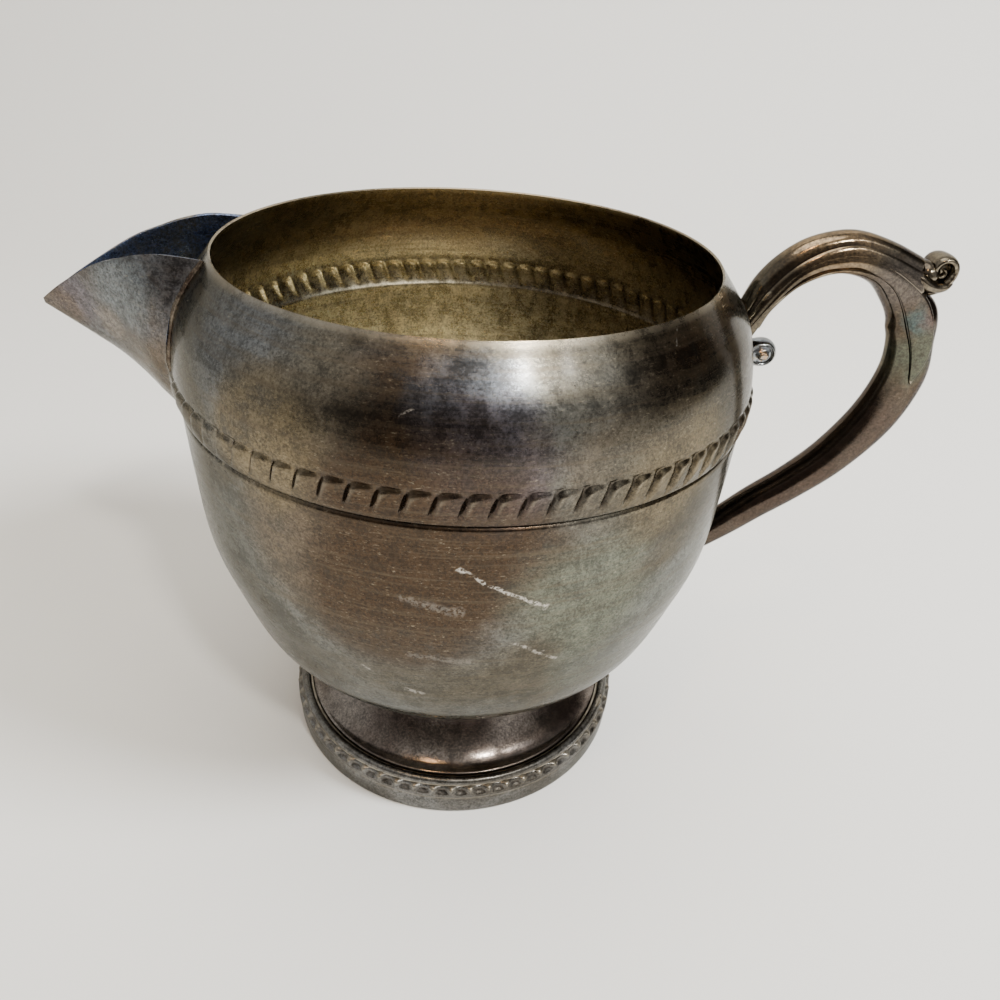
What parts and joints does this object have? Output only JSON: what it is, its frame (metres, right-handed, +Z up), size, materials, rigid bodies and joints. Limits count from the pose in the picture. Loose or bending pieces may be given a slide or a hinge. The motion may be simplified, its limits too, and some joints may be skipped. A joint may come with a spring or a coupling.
{
  "type": "cream jug",
  "caption": "Small tarnished silver-plated cream jug with a bulbous body, open beaked spout, scroll loop handle and round pedestal foot.",
  "frame": {"origin": "centre of the standing face, on the axis of the body and foot, at table level", "axes": "+Z up along the axis of the body, +X toward the handle, -X toward the spout"},
  "size_m": [0.1513, 0.0964, 0.1047],
  "materials": {
    "tarnished_plate": "silver plate, heavily tarnished umber, olive and blue-grey, fine polishing scratches",
    "spout_plate": "silver plate, mauve-grey tarnish outside, blue inside",
    "foot_plate": "silver plate, glossy purple-brown tarnish",
    "border_plate": "silver plate, dull pewter grey with dark recesses",
    "handle_plate": "silver plate, bronze-brown tarnish on cast mouldings",
    "scroll_plate": "silver plate, rubbed bright on the raised scrolls",
    "solder": "dull grey silver solder with dark edges"
  },
  "bodies": {
    "root": {"body": "tarnished_plate", "spout": "spout_plate", "spout_solder": "solder", "foot": "foot_plate", "foot_base_ring": "border_plate", "foot_border": "border_plate", "foot_bead": "border_plate", "foot_solder": "solder", "handle_arm": "handle_plate", "handle_leg": "handle_plate", "thumb_scroll": "scroll_plate", "inner_scroll": "scroll_plate", "handle_upper_solder": "solder", "handle_lower_solder": "solder"}
  },
  "joints": []
}
